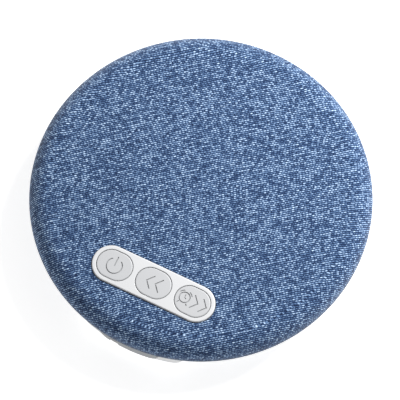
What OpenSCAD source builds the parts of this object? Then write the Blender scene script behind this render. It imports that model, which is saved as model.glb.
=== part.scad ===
// Round fabric-topped wireless speaker puck: three keys in a pill-shaped bezel, one USB-C socket
// behind a silicone flap, one small loudspeaker, a pouch cell and two boards inside.
// Millimetres, +Z up, front towards -Y, origin under the middle of the foot ring.

/* [Body] */
// Outside diameter over the fabric
body_d = 90; // [86:1:96]
// Radius of the rounded edge that the fabric wraps
rim_r = 5; // [4.8:0.1:5.2]
// Height of the rounded edge's centre above the table
rim_z = 12; // [12:0.1:12.4]
// Radius of the shallow dome on top
dome_r = 520; // [440:10:700]
// Thickness of the stretched fabric
fabric_t = 0.8; // [0.6:0.1:0.8]
// Wall of the two moulded shells
wall_t = 1.6; // [1.4:0.1:1.7]

/* [Keys] */
// Distance of the key row from the middle
row_y = 28.6; // [28.3:0.1:28.8]
// Sideways place of the key row
row_x = 0.45; // [0:0.05:0.6]
// Length of the pill-shaped bezel
bezel_l = 34.8; // [34.6:0.1:35.2]
// Width of the pill-shaped bezel
bezel_w = 10.05; // [10:0.05:10.2]
// Length of one key
key_l = 9.7; // [9.4:0.1:9.8]
// Width of one key
key_w = 7.7; // [7.2:0.1:7.8]
// Distance from key to key
key_pitch = 11.3; // [11.2:0.1:11.5]
// How far a key goes down
key_travel = 0.3; // [0.2:0.05:0.3]
// How far the bezel stands above the fabric
bezel_proud = 0.4; // [0.3:0.05:0.6]

/* [Port] */
// Radius of the port housing's outer face
port_r = 42.8; // [42.6:0.1:43]
// Height of the socket's centre line
port_z = 4.9; // [4.9:0.05:5]
// Length of the silicone flap
flap_l = 16.4; // [16:0.1:16.6]
// Height of the silicone flap
flap_h = 4.4; // [4.2:0.1:4.6]
// Sideways place of the socket
socket_x = 2.3; // [2.2:0.1:2.4]

/* [Loudspeaker] */
// Diameter of the loudspeaker's flange
driver_d = 36; // [35:0.5:36]
// Place of the loudspeaker's axis
driver_at = [-13.5, 9];
// Diameter of one grille hole
grille_hole_d = 1.6; // [1.2:0.1:1.8]

/* [Hidden] */
$fn = 64;

gap = 0.05;            // between pieces that lie against each other
body_r = body_d / 2;
rim_c = body_r - rim_r;
dome_z = rim_z - sqrt(pow(dome_r - rim_r, 2) - pow(rim_c, 2));
join_a = acos(rim_c / (dome_r - rim_r));

shell_out = fabric_t + gap;          // depth of the upper shell's outside under the fabric
shell_in = shell_out + wall_t;
lip_r = body_r - 7;                  // opening in the upper shell's underside
fabric_end_r = lip_r + 0.4;
seam_z = rim_z - rim_r - 0.1;        // top of the lower shell's outer wall
floor_z = 0.8;
floor_t = 1.4;
inner_floor_z = floor_z + floor_t;
tongue_r = lip_r - 0.2;
inner_r = tongue_r - 1.4;

foot_in_r = 25.5;
foot_out_r = 29.5;
foot_seat = 0.5;

boss_circle_r = 32.5;
boss_angles = [80, 200, 320];
boss_split_z = 5;
case_screw_r = 1;

row_z = dome_z + sqrt(pow(dome_r, 2) - pow(row_y, 2));
row_tilt = asin(row_y / dome_r);
board_top_w = -7.5;                  // top of the key board, below the fabric's surface
board_w_t = 1;
key_boss_at = [19.2, 2];
key_hole_gap = 0.12;
neck_l = bezel_l - 1;
neck_w = bezel_w - 1;
neck_bottom_w = -3;
key_flange_t = 0.8;
key_flange_w = neck_bottom_w - 0.1;
plunger_top_w = -5;
switch_top_w = plunger_top_w - key_travel - 0.2;

port_l = 29.2;
port_h = 5.9;
port_wall = 1.6;
recess = 1;
flap_t = 1.35;
flap_start_x = -2.9;
anchor_end_x = -4.95;
stud_x = -6.4;
usb_w = 8.94;
usb_h = 3.26;
usb_wall = 0.35;
usb_front_y = -41.2;
usb_l = 7.3;

pcb_t = 0.8;
pcb_top = port_z - usb_h / 2;
pcb_r = 34.9;
stake_at = [[-17.8, -19.4], [17.8, -19.4], [11.2, -31.4]];

cell_size = [23, 33, 6];
cell_at = [18.5, 1];
tape_t = 0.5;

seat_z = 14;
flange_z = 12.7;
flange_t = 0.8;
driver_r = driver_d / 2;
driver_screw_r = 19.9;
driver_screw_angles = [56, 176, 296];

battery_lead_path = [
    [0, -15.95, 6.6], [0, -16.8, 6.65], [0.2, -17.7, 6.2], [0.4, -18.5, 5.3], [0.4, -19.1, 5],
    [0.4, -19.75, 5]
];
red_speaker_path = [
    [-18.2, -8.2, 11.1], [-18.5, -9.6, 10.7], [-18.9, -11.8, 9], [-18.2, -14, 6.9],
    [-16.4, -15.6, 5.2], [-14.6, -16.8, 4.2], [-13.6, -18.6, 3.72]
];
black_speaker_path = [
    [-21, -7.2, 11.1], [-21.4, -9, 10.6], [-21.4, -11.6, 8.8], [-20.3, -14, 6.7],
    [-18.2, -15.9, 5], [-16.2, -16.9, 4.1], [-15.2, -18.6, 3.72]
];

// ---------------------------------------------------------------- helpers

function arc(c, r, a0, a1, n) =
    [for (i = [0:n]) let (a = a0 + (a1 - a0) * i / n) c + r * [cos(a), sin(a)]];

function reversed(v) = [for (i = [len(v) - 1:-1:0]) v[i]];

// Half outline of the puck, a given depth under the fabric's outside: dome, then rounded edge.
function skin(depth) = concat(
    arc([0, dome_z], dome_r - depth, 90, join_a, 8),
    arc([rim_c, rim_z], rim_r - depth, join_a - 8, -90, 16)
);

function dome_top(r, depth) = dome_z + sqrt(pow(dome_r - depth, 2) - r * r);

function unit(v) = v / norm(v);

// Smooth curve through hand-picked points, with a few steps between each pair.
function spline_point(p, i, t) = let (
    a = p[max(i - 1, 0)], b = p[i], c = p[i + 1], d = p[min(i + 2, len(p) - 1)]
) b + 0.5 * t * (c - a + (2 * a - 5 * b + 4 * c - d) * t + (3 * b - a - 3 * c + d) * t * t);

function smooth_path(p, steps) = concat(
    [for (i = [0:len(p) - 2]) for (s = [0:steps - 1]) spline_point(p, i, s / steps)],
    [p[len(p) - 1]]
);

function ring_points(p, i, r, sides) = let (
    t = unit(p[min(i + 1, len(p) - 1)] - p[max(i - 1, 0)]),
    u = unit(cross(t, [0.31, 0.17, 0.93])),
    v = cross(t, u)
) [for (k = [0:sides - 1]) let (a = 360 * k / sides) p[i] + r * (cos(a) * u + sin(a) * v)];

module wire(points, r) {
    path = smooth_path(points, 3);
    sides = 8;
    n = len(path);
    body_points = [for (i = [0:n - 1]) each ring_points(path, i, r, sides)];
    walls = [
        for (i = [0:n - 2]) for (k = [0:sides - 1])
            let (a = i * sides + k, b = i * sides + (k + 1) % sides)
                each [[a, a + sides, b], [b, a + sides, b + sides]]
    ];
    caps = [[for (k = [0:sides - 1]) k], [for (k = [sides - 1:-1:0]) (n - 1) * sides + k]];
    polyhedron(body_points, concat(walls, caps));
}

// A flat bar with round ends, centred, standing on z = 0.
module pill(l, w, h) {
    translate([-(l - w) / 2, -w / 2, 0]) cube([l - w, w, h]);
    for (side = [-1, 1]) translate([side * (l - w) / 2, 0, 0]) cylinder(r = w / 2, h = h);
}

module tube(r_out, r_in, h) {
    difference() {
        cylinder(r = r_out, h = h);
        translate([0, 0, -1]) cylinder(r = r_in, h = h + 2);
    }
}

module block(size, at) {
    translate([at[0] - size[0] / 2, at[1] - size[1] / 2, at[2]]) cube(size);
}

module revolve(outline) {
    rotate_extrude() polygon(outline);
}

// Frame of the key row: origin on the fabric, Z along its normal.
module on_row() {
    translate([row_x, -row_y, row_z]) rotate([row_tilt, 0, 0]) children();
}

// Everything that lies deeper than the dome's surface moved down by depth.
module under_dome(depth) {
    edge = arc([0, dome_z], dome_r - depth, 90, join_a, 8);
    revolve(concat(edge, [[edge[8][0], 0], [0, 0]]));
}

// A pill seen from the front, pushed along Y between two distances from the axis.
module front_pill(l, h, y_near, y_far) {
    translate([0, -y_near, port_z]) rotate([90, 0, 0]) pill(l, h, y_far - y_near);
}

module at_driver() {
    translate([driver_at[0], driver_at[1], 0]) children();
}

module at_bosses() {
    for (a = boss_angles) rotate([0, 0, a]) translate([boss_circle_r, 0, 0]) children();
}

// ---------------------------------------------------------------- housing

module fabric_cover() {
    color([0.25, 0.37, 0.58]) difference() {
        revolve(concat(
            skin(0),
            [[fabric_end_r, rim_z - rim_r], [fabric_end_r, rim_z - rim_r + fabric_t]],
            reversed(skin(fabric_t))
        ));
        on_row() translate([0, 0, -4]) pill(bezel_l + 0.2, bezel_w + 0.2, 8);
    }
}

module grille_holes() {
    rings = 4;
    pitch = 3.1;
    at_driver() for (i = [-rings:rings]) for (j = [-rings:rings])
        if (abs(i + j) <= rings)
            translate([pitch * (i + j / 2), pitch * j * sqrt(3) / 2, seat_z])
                cylinder(d = grille_hole_d, h = 8);
}

// A post that hangs from the upper shell's ceiling down to bottom_z, with a screw pilot.
module ceiling_post(r, bottom_z, pilot_r, pilot_l) {
    difference() {
        translate([0, 0, bottom_z]) cylinder(r = r, h = rim_z + rim_r - bottom_z + 1.5);
        translate([0, 0, bottom_z - 1]) cylinder(r = pilot_r, h = pilot_l + 1);
    }
}

module top_shell_posts() {
    at_bosses() ceiling_post(2.6, boss_split_z + gap, case_screw_r + 0.02, 6.5);
    at_driver() {
        for (a = driver_screw_angles) rotate([0, 0, a]) translate([driver_screw_r, 0, 0])
            ceiling_post(1.8, flange_z, 0.82, 2.6);
        translate([0, 0, seat_z]) tube(driver_r + 0.4, driver_r - 1.5, 3);
    }
    on_row() for (side = [-1, 1]) translate([side * key_boss_at[0], key_boss_at[1], board_top_w])
        difference() {
            cylinder(r = 1.9, h = 6.5);
            translate([0, 0, -1]) cylinder(r = 0.82, h = 4);
        }
}

module top_shell() {
    color([0.16, 0.17, 0.19]) difference() {
        union() {
            revolve(concat(
                skin(shell_out),
                [[lip_r, rim_z - rim_r + shell_out], [lip_r, rim_z - rim_r + shell_in]],
                reversed(skin(shell_in))
            ));
            intersection() {
                top_shell_posts();
                revolve(concat(skin(shell_out + 0.3), [[0, rim_z - rim_r + shell_out + 0.3]]));
            }
            at_bosses() translate([0, 0, boss_split_z + gap])
                tube(2.6, case_screw_r + 0.02, 5);
        }
        grille_holes();
        on_row() translate([0, 0, -6]) pill(neck_l + 0.2, neck_w + 0.2, 8);
    }
}

// Outline of the lower shell: floor, rounded corner, drafted wall, tongue, and back inside.
module lower_dish() {
    corner_r = 3.5;
    outer_x = lip_r - 3.5;
    inner_corner_r = 2;
    revolve(concat(
        [[0, floor_z]],
        arc([outer_x, floor_z + corner_r], corner_r, -90, 0, 8),
        [[lip_r + 1.2, seam_z], [tongue_r, seam_z], [tongue_r, seam_z + 2.2], [inner_r, seam_z + 2.2]],
        arc([inner_r - inner_corner_r, inner_floor_z + inner_corner_r], inner_corner_r, 0, -90, 6),
        [[0, inner_floor_z]]
    ));
}

// The bulge at the front that carries the socket up against the underside of the fabric.
module port_bulge() {
    intersection() {
        front_pill(port_l, port_h, inner_r - 0.6, port_r + 1);
        cylinder(r = port_r, h = 20);
    }
}

module bottom_shell() {
    pocket_w = 21;
    pocket_bottom = inner_floor_z + 0.1;
    pocket_top = port_z + usb_h / 2 + 0.1;
    color([0.93, 0.93, 0.94]) difference() {
        union() {
            lower_dish();
            difference() {
                port_bulge();
                revolve(concat(skin(-0.1), [[0, rim_z - rim_r - 0.1]]));
            }
            at_bosses() translate([0, 0, floor_z]) cylinder(r = 3.4, h = boss_split_z - floor_z);
            for (p = stake_at) translate([p[0], p[1], floor_z + 1]) {
                cylinder(r = 1.4, h = pcb_top - pcb_t - gap - floor_z - 1);
                cylinder(r = 0.8, h = pcb_top - floor_z - 0.4);
                translate([0, 0, pcb_top + gap - floor_z - 1]) cylinder(r = 1.3, h = 0.55);
            }
            cell_ribs();
        }
        // pocket for the board's nose and the socket
        intersection() {
            translate([-pocket_w / 2, -port_r, pocket_bottom])
                cube([pocket_w, port_r - inner_r + 3.2, pocket_top - pocket_bottom]);
            cylinder(r = port_r - port_wall, h = 20);
        }
        // seat of the flap, socket opening and the flap's anchor hole
        difference() {
            front_pill(flap_l + 0.4, flap_h + 0.4, port_r - 4, port_r + 1);
            cylinder(r = port_r - recess, h = 20);
        }
        translate([socket_x, 0, 0]) front_pill(usb_w + 0.36, usb_h + 0.34, port_r - 4, port_r + 1);
        translate([stud_x, -port_r + 3, port_z]) rotate([90, 0, 0]) cylinder(r = 1, h = 4);
        // foot groove and screw wells
        translate([0, 0, floor_z - 1]) tube(foot_out_r, foot_in_r, 1 + foot_seat);
        at_bosses() {
            translate([0, 0, floor_z - 1]) cylinder(r = 2.2, h = 3.6);
            translate([0, 0, floor_z]) cylinder(r = case_screw_r + 0.15, h = 8);
        }
    }
}

// Low ribs that keep the cell in place.
module cell_ribs() {
    rib_h = 2.4;
    reach = cell_size / 2 + [0.8, 0.8, 0];
    translate([cell_at[0], cell_at[1], inner_floor_z - 0.2]) for (side = [-1, 1]) {
        block([1, 8, rib_h], [side * reach[0], 0, 0]);
        block([8, 1, rib_h], [0, side * reach[1], 0]);
    }
}

module foot_ring() {
    color([0.62, 0.64, 0.66]) tube(foot_out_r - gap, foot_in_r + gap, floor_z + foot_seat);
}

// Pan-head screw with a cross recess, head down, its head's upper face at z = 0.
module screw(r, l, head_r, head_h) {
    difference() {
        union() {
            cylinder(r = r, h = l);
            translate([0, 0, -head_h]) cylinder(r = head_r, h = head_h);
        }
        for (a = [0, 90]) rotate([0, 0, a])
            block([head_r * 1.1, head_r * 0.28, head_h * 0.6], [0, 0, -head_h - 0.01]);
    }
}

module case_screws() {
    color([0.75, 0.76, 0.78]) at_bosses()
        translate([0, 0, floor_z + 2.6]) screw(case_screw_r, 7, 1.9, 1.3);
}

// ---------------------------------------------------------------- keys

module key_bezel() {
    color([0.91, 0.91, 0.92]) difference() {
        union() {
            difference() {
                intersection() {
                    on_row() translate([0, 0, -2]) pill(bezel_l, bezel_w, 4);
                    under_dome(-bezel_proud);
                }
                under_dome(shell_out - 0.03);
            }
            on_row() translate([0, 0, neck_bottom_w]) pill(neck_l, neck_w, -neck_bottom_w - 0.2);
            // catches that snap under the upper shell
            on_row() for (side = [-1, 1]) for (x = [-key_pitch / 2, key_pitch / 2])
                block([3, 0.5, 0.35], [x, side * (neck_w / 2 + 0.15), neck_bottom_w]);
        }
        on_row() for (i = [-1:1]) translate([i * key_pitch, 0, -5])
            pill(key_l + 2 * key_hole_gap, key_w + 2 * key_hole_gap, 10);
    }
}

module key_cap(i) {
    color([0.82, 0.83, 0.85]) difference() {
        union() {
            intersection() {
                on_row() translate([i * key_pitch, 0, key_flange_w]) pill(key_l, key_w, 6);
                under_dome(-bezel_proud);
            }
            on_row() translate([i * key_pitch, 0, key_flange_w - key_flange_t]) {
                pill(key_l + 1.2, key_w + 0.9, key_flange_t);
                translate([0, 0, plunger_top_w + 0.02 - key_flange_w + key_flange_t])
                    cylinder(r = 1.2, h = 2);
            }
        }
        on_row() translate([i * key_pitch, 0, bezel_proud - 0.25]) key_mark(i);
    }
}

// Engraved marks: a power ring, two chevrons, and a small clock with two chevrons.
module key_mark(i) {
    line = 0.3;
    if (i == -1) {
        translate([0, -0.2, 0]) difference() {
            tube(2.25, 2.25 - line, 1);
            block([2.6, 3, 3], [0, 1.9, -1]);
        }
        block([line, 2.5, 1], [0, 1.1, 0]);
    }
    if (i == 0) for (x = [-1.95, 0.55]) chevron(x, 1, line);
    if (i == 1) {
        for (x = [1.55, 4]) chevron(x, -1, line);
        translate([-2.3, 0.1, 0]) {
            tube(1.57, 1.57 - line, 1);
            block([line, 0.8, 1], [0, 0.35, 0]);
            for (side = [-1, 1]) rotate([0, 0, side * 41]) block([1, line, 1], [0, 1.95, 0]);
        }
    }
}

module chevron(x, way, line) {
    arm = 2.35;
    for (side = [-1, 1]) translate([x, 0, 0]) rotate([0, 0, side * 50])
        translate([way == 1 ? 0 : -arm, -line / 2, 0]) cube([arm, line, 1]);
}

module switch_base(i) {
    color([0.12, 0.12, 0.13]) on_row() translate([i * key_pitch, 0, 0]) difference() {
        block([4.5, 4.5, switch_top_w - board_top_w], [0, 0, board_top_w]);
        translate([0, 0, switch_top_w - 0.9]) cylinder(r = 1.1, h = 2);
    }
}

module plunger(i) {
    color([0.85, 0.30, 0.12]) on_row() translate([i * key_pitch, 0, plunger_top_w - 1])
        cylinder(r = 1, h = 1);
}

module key_board() {
    color([0.10, 0.36, 0.20]) difference() {
        intersection() {
            on_row() block([42.4, 9.2, board_w_t], [0, -0.4, board_top_w - board_w_t]);
            cylinder(r = pcb_r, h = 30);
        }
        on_row() for (side = [-1, 1])
            translate([side * key_boss_at[0], key_boss_at[1], board_top_w - 3])
                cylinder(r = 0.9, h = 5);
    }
}

module key_board_screws() {
    color([0.75, 0.76, 0.78]) on_row() for (side = [-1, 1])
        translate([side * key_boss_at[0], key_boss_at[1], board_top_w - board_w_t])
            screw(0.8, 3.8, 1.5, 0.9);
}

module status_led() {
    color([0.95, 0.95, 0.85]) on_row() block([1.6, 0.8, 0.6], [-key_pitch / 2, 0, board_top_w]);
}

// Flat flex that folds back from the key board's socket to the main board's.
module ribbon_cable() {
    half_t = 0.12;
    a = [-24.85, 9.01];
    d = [-18.55, 3.85];
    path = [for (i = [0:16]) let (t = i / 16)
        pow(1 - t, 3) * a + 3 * t * pow(1 - t, 2) * [-12, a[1]] + 3 * t * t * (1 - t) * [-12, d[1]]
        + pow(t, 3) * d];
    normals = [for (i = [0:16])
        let (s = unit(path[min(i + 1, 16)] - path[max(i - 1, 0)])) [-s[1], s[0]]];
    color([0.80, 0.52, 0.20]) translate([-3.5, 0, 0]) rotate([90, 0, 90]) linear_extrude(height = 7)
        polygon(concat(
            [for (i = [0:16]) path[i] + half_t * normals[i]],
            [for (i = [16:-1:0]) path[i] - half_t * normals[i]]
        ));
}

module ribbon_sockets() {
    color([0.85, 0.82, 0.74]) {
        block([9, 2.3, 1.1], [0, -19.75, pcb_top]);
        on_row() block([9, 2.3, 0.9], [0, 2.05, board_top_w - board_w_t - 0.9]);
    }
}

// ---------------------------------------------------------------- main board

module main_board() {
    color([0.10, 0.36, 0.20]) difference() {
        translate([0, 0, pcb_top - pcb_t]) union() {
            intersection() {
                translate([-20, -35, 0]) cube([40, 18, pcb_t]);
                cylinder(r = pcb_r, h = pcb_t);
            }
            translate([-9, -39.5, 0]) cube([18, 8, pcb_t]);
        }
        for (p = stake_at) translate([p[0], p[1], 0]) cylinder(r = 0.9, h = 10);
    }
}

module audio_processor() {
    color([0.10, 0.10, 0.11]) block([5, 5, 0.85], [-5, -25.2, pcb_top]);
}

// Small outline chip with gull-wing legs along two sides.
module gull_chip(size, at, legs, leg_pitch) {
    color([0.10, 0.10, 0.11]) {
        block([size[0], size[1], size[2] - 0.1], [at[0], at[1], pcb_top + 0.1]);
        for (side = [-1, 1]) for (k = [0:legs - 1])
            block([0.4, 1, 0.25], [
                at[0] + (k - (legs - 1) / 2) * leg_pitch, at[1] + side * (size[1] / 2 + 0.4), pcb_top
            ]);
    }
}

module crystal() {
    color([0.80, 0.80, 0.78]) block([3.2, 2.5, 0.8], [-5, -30.6, pcb_top]);
}

module power_inductor() {
    color([0.25, 0.25, 0.26]) difference() {
        block([4, 4, 2], [2.6, -29.6, pcb_top]);
        translate([2.6, -29.6, pcb_top + 0.5]) tube(2.6, 1.5, 1);
    }
}

// Rows of little chips: count, first place and step.
module chip_row(size, first, step, count) {
    for (k = [0:count - 1]) block(size, [first[0] + step[0] * k, first[1] + step[1] * k, pcb_top]);
}

module chip_capacitors() {
    color([0.72, 0.60, 0.45]) {
        chip_row([1.6, 0.8, 0.8], [-9.2, -27.6], [0, 1.5], 5);
        chip_row([0.8, 1.6, 0.8], [-0.9, -26.4], [1.4, 0], 6);
        chip_row([1.6, 0.8, 0.8], [-17.4, -22.2], [0, -1.5], 3);
    }
}

module chip_resistors() {
    color([0.08, 0.08, 0.09]) {
        chip_row([0.8, 1.6, 0.5], [-1.4, -24], [1.4, 0], 6);
        chip_row([1.6, 0.8, 0.5], [17.2, -23.2], [0, -1.4], 3);
        chip_row([0.8, 1.6, 0.5], [-9.4, -31.4], [1.3, 0], 2);
    }
}

module bulk_capacitor() {
    color([0.78, 0.79, 0.80]) {
        block([4.6, 4.6, 0.8], [-13.6, -28.65, pcb_top]);
        translate([-13.6, -28.65, pcb_top + 0.8]) cylinder(r = 2.2, h = 4.2);
    }
}

module chip_antenna() {
    color([0.90, 0.90, 0.92]) block([5, 2, 1.2], [-6, -36.6, pcb_top]);
}

module usb_shell() {
    front = -usb_front_y;
    color([0.78, 0.79, 0.80]) translate([socket_x, 0, 0]) difference() {
        front_pill(usb_w, usb_h, front - usb_l, front);
        front_pill(usb_w - 2 * usb_wall, usb_h - 2 * usb_wall, front - usb_l + 0.5, front + 1);
    }
}

module usb_tongue() {
    color([0.10, 0.10, 0.11]) translate([socket_x, 0, 0]) {
        block([7, 1.4, 1.9], [0, usb_front_y + usb_l - 1.25, port_z - 0.95]);
        block([6.7, 5, 0.7], [0, usb_front_y + usb_l - 3.9, port_z - 0.35]);
    }
}

// ---------------------------------------------------------------- port flap

// The part of the flap between two sideways places.
module flap_slice(x0, x1, depth_in, depth_out) {
    intersection() {
        difference() {
            front_pill(flap_l, flap_h, port_r - 4, port_r + 2);
            cylinder(r = depth_in, h = 20);
        }
        cylinder(r = depth_out, h = 20);
        translate([x0, -port_r - 3, 0]) cube([x1 - x0, 8, 12]);
    }
}

flap_in_r = port_r - recess + gap;

module port_flap() {
    color([0.60, 0.62, 0.64]) {
        flap_slice(flap_start_x, flap_l, flap_in_r, flap_in_r + flap_t);
        translate([socket_x, 0, 0]) front_pill(7.6, 2, 40.6, 42.2);
    }
}

module flap_anchor() {
    color([0.60, 0.62, 0.64]) {
        flap_slice(-flap_l, anchor_end_x, flap_in_r, flap_in_r + flap_t);
        translate([stud_x, -39.9, port_z]) rotate([90, 0, 0]) {
            cylinder(r = 0.95, h = 2.4);
            cylinder(r1 = 0.9, r2 = 1.35, h = 0.6);
        }
    }
}

module flap_web() {
    color([0.60, 0.62, 0.64]) intersection() {
        flap_slice(anchor_end_x, flap_start_x, flap_in_r + 0.3, flap_in_r + flap_t - 0.3);
        translate([-10, -50, port_z - 1.6]) cube([20, 20, 3.2]);
    }
}

// ---------------------------------------------------------------- battery

module battery_cell() {
    pinch = 1.2;
    z0 = inner_floor_z + tape_t;
    color([0.72, 0.73, 0.76]) {
        // pouch with its two long edges rounded
        translate([cell_at[0], cell_at[1] + pinch / 2, z0 + cell_size[2] / 2]) rotate([90, 0, 0])
            translate([0, 0, -(cell_size[1] - pinch) / 2]) {
                pill_h = cell_size[2];
                pill(cell_size[0], pill_h, cell_size[1] - pinch);
            }
        // protection strip folded over the end seam
        block(
            [17, pinch + 0.4, 3],
            [cell_at[0], cell_at[1] - (cell_size[1] - pinch) / 2 - 0.2, z0 + 2.4]
        );
    }
}

module battery_tape() {
    color([0.95, 0.93, 0.86])
        block([14, 26, tape_t - 0.02], [cell_at[0], cell_at[1], inner_floor_z + 0.01]);
}

module battery_socket() {
    color([0.93, 0.91, 0.85]) difference() {
        block([6, 4.4, 3.4], [12.6, -22.5, pcb_top]);
        block([5, 4, 2.4], [12.6, -21.9, pcb_top + 0.5]);
    }
}

module battery_plug() {
    color([0.95, 0.95, 0.93]) block([4.8, 3.6, 2.2], [12.6, -21.6, pcb_top + 0.6]);
}

module battery_lead(x) {
    translate([x, 0, 0]) wire(battery_lead_path, 0.45);
}

// ---------------------------------------------------------------- loudspeaker

module speaker_frame() {
    color([0.20, 0.21, 0.22]) at_driver() difference() {
        revolve([
            [9.05, 7.4], [9.05, 8.2], [9.9, 8.2], [10.2, 9.4], [11.6, 9.4], [15.0, 13.5],
            [driver_r, 13.5], [driver_r, flange_z], [15.4, flange_z], [12.2, 8.8],
            [10.8, 8.8], [10.5, 7.4]
        ]);
        // windows behind the cone
        for (a = [20:60:320]) rotate([0, 0, a]) translate([13.4, 0, 11]) rotate([0, 90, 0])
            cylinder(r = 1, h = 4, center = true);
    }
}

module speaker_gasket() {
    color([0.15, 0.15, 0.16]) at_driver() translate([0, 0, flange_z + flange_t])
        tube(driver_r, driver_r - 1.4, seat_z - flange_z - flange_t);
}

module speaker_surround() {
    t = 0.25;
    roll = [14.3, 13.35];
    r = 1.15;
    color([0.12, 0.12, 0.13]) at_driver() revolve(concat(
        [[12.2, 13.35]],
        arc(roll, r, 180, 8, 12),
        [[16.5, 13.52], [16.5, 13.77]],
        arc(roll, r + t, 18, 169, 12),
        [[12.2, 13.6]]
    ));
}

// Corrugated ring that centres the coil.
module speaker_spider() {
    waves = 3;
    inner = 6.9;
    outer = 11.3;
    top = [for (i = [0:24]) let (u = i / 24)
        [inner + (outer - inner) * u, 9.62 + 0.22 * sin(360 * waves * u) * (1 - pow(2 * u - 1, 8))]];
    color([0.80, 0.66, 0.30]) at_driver() revolve(concat(
        [for (p = top) p], [for (i = [24:-1:0]) top[i] + [0, 0.2]]
    ));
}

module speaker_cone() {
    color([0.13, 0.13, 0.14]) at_driver() revolve([
        [6.87, 10.35], [12, 13], [12.9, 13], [12.9, 13.3], [11.9, 13.3], [6.87, 10.75]
    ]);
}

module speaker_dust_cap() {
    cap_r = 12;
    edge_r = 7.2;
    centre = [0, 11.1 - sqrt(cap_r * cap_r - edge_r * edge_r)];
    color([0.70, 0.71, 0.73]) at_driver() revolve(concat(
        arc(centre, cap_r, 90, acos(edge_r / cap_r), 8),
        reversed(arc(centre, cap_r - 0.3, 90, acos(edge_r / cap_r), 8))
    ));
}

module voice_coil() {
    color([0.75, 0.42, 0.20]) at_driver() {
        translate([0, 0, 6.2]) tube(6.85, 6.7, 4.6);
        translate([0, 0, 6.4]) tube(7.15, 6.85, 2.4);
    }
}

module speaker_magnet() {
    color([0.72, 0.73, 0.75]) at_driver() translate([0, 0, 5.2]) cylinder(r = 6.3, h = 2);
}

module speaker_pole_plate() {
    color([0.60, 0.61, 0.63]) at_driver() translate([0, 0, 7.2]) cylinder(r = 6.45, h = 1);
}

module speaker_yoke() {
    color([0.66, 0.67, 0.69]) at_driver() revolve([
        [0, 4.2], [8.4, 4.2], [9, 4.8], [9, 8.2],
        [7.4, 8.2], [7.4, 7.2], [7.8, 7.0], [7.8, 5.2], [0, 5.2]
    ]);
}

module speaker_terminals() {
    color([0.55, 0.40, 0.20]) at_driver() rotate([0, 0, 250]) {
        block([2.4, 7, 0.8], [16.8, 0, flange_z - 0.8]);
        for (side = [-1, 1]) block([1.8, 1.4, 0.25], [17, side * 1.5, flange_z - 1.05]);
    }
}

module speaker_screws() {
    color([0.75, 0.76, 0.78]) at_driver() for (a = driver_screw_angles) rotate([0, 0, a])
        translate([driver_screw_r, 0, flange_z]) screw(0.8, 2, 2.5, 0.9);
}

module speaker_lead(points) {
    wire(points, 0.4);
}

fabric_cover();
top_shell();
bottom_shell();
foot_ring();
case_screws();
key_bezel();
key_cap(-1);  // power_key
key_cap(0);  // previous_key
key_cap(1);  // next_key
switch_base(-1);  // power_switch
switch_base(0);  // previous_switch
switch_base(1);  // next_switch
plunger(-1);  // power_plunger
plunger(0);  // previous_plunger
plunger(1);  // next_plunger
key_board();
key_board_screws();
status_led();
ribbon_cable();
ribbon_sockets();
main_board();
audio_processor();
gull_chip([4.9, 3.9, 1.5], [-13.4, -23.4], 4, 1.27);  // amplifier_chip
gull_chip([2.9, 1.6, 1.1], [8.4, -28.6], 3, 0.95);  // charger_chip
crystal();
power_inductor();
chip_capacitors();
chip_resistors();
bulk_capacitor();
chip_antenna();
usb_shell();
usb_tongue();
port_flap();
flap_anchor();
flap_web();
battery_cell();
battery_tape();
battery_socket();
battery_plug();
battery_lead(11.2);  // battery_lead_red
battery_lead(13);  // battery_lead_black
speaker_frame();
speaker_gasket();
speaker_surround();
speaker_spider();
speaker_cone();
speaker_dust_cap();
voice_coil();
speaker_magnet();
speaker_pole_plate();
speaker_yoke();
speaker_terminals();
speaker_screws();
speaker_lead(red_speaker_path);  // speaker_lead_red
speaker_lead(black_speaker_path);  // speaker_lead_black
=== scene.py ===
from math import acos, atan2, cos, hypot, pi, radians, sin, sqrt

import bmesh
import bpy
from mathutils import Matrix, Vector


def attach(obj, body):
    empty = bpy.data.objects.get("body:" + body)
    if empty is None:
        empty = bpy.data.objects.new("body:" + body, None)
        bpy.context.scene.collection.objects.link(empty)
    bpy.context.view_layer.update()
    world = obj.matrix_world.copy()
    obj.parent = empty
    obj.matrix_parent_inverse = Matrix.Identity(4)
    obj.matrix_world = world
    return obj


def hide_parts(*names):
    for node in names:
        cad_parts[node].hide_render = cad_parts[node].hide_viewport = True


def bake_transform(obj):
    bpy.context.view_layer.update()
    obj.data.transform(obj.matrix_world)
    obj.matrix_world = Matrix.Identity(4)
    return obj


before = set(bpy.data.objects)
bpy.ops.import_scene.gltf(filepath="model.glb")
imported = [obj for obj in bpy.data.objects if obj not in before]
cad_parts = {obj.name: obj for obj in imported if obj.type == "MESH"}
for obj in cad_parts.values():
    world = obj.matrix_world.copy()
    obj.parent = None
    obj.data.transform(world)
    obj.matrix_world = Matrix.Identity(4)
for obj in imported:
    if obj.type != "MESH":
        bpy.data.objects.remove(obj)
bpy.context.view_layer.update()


# ---- Camera -------------------------------------------------------------------------------
# A long lens high above the puck's front right, so that the round body fills most of the frame
# and the port under its near edge just shows.
azimuth, elevation = radians(26.5), radians(69)
camera_distance = 2.0
frame_width = 0.1047
sensor = 36
aim = Vector((-0.000118, -0.000364, 0.011868))
away = Vector((sin(azimuth) * cos(elevation), -cos(azimuth) * cos(elevation), sin(elevation)))


def facing_back(place, direction):
    """Where a camera or a lamp stands, looking back along a direction."""
    return Matrix.Translation(place) @ direction.to_track_quat("Z", "Y").to_matrix().to_4x4()


camera_data = bpy.data.cameras.new("studio_camera")
camera_data.sensor_width = sensor
camera_data.lens = sensor * camera_distance / frame_width
camera_data.clip_end = 10 * camera_distance
camera = bpy.data.objects.new("studio_camera", camera_data)
camera.matrix_world = facing_back(aim + away * camera_distance, away)
bpy.context.scene.collection.objects.link(camera)
bpy.context.scene.camera = camera


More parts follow.
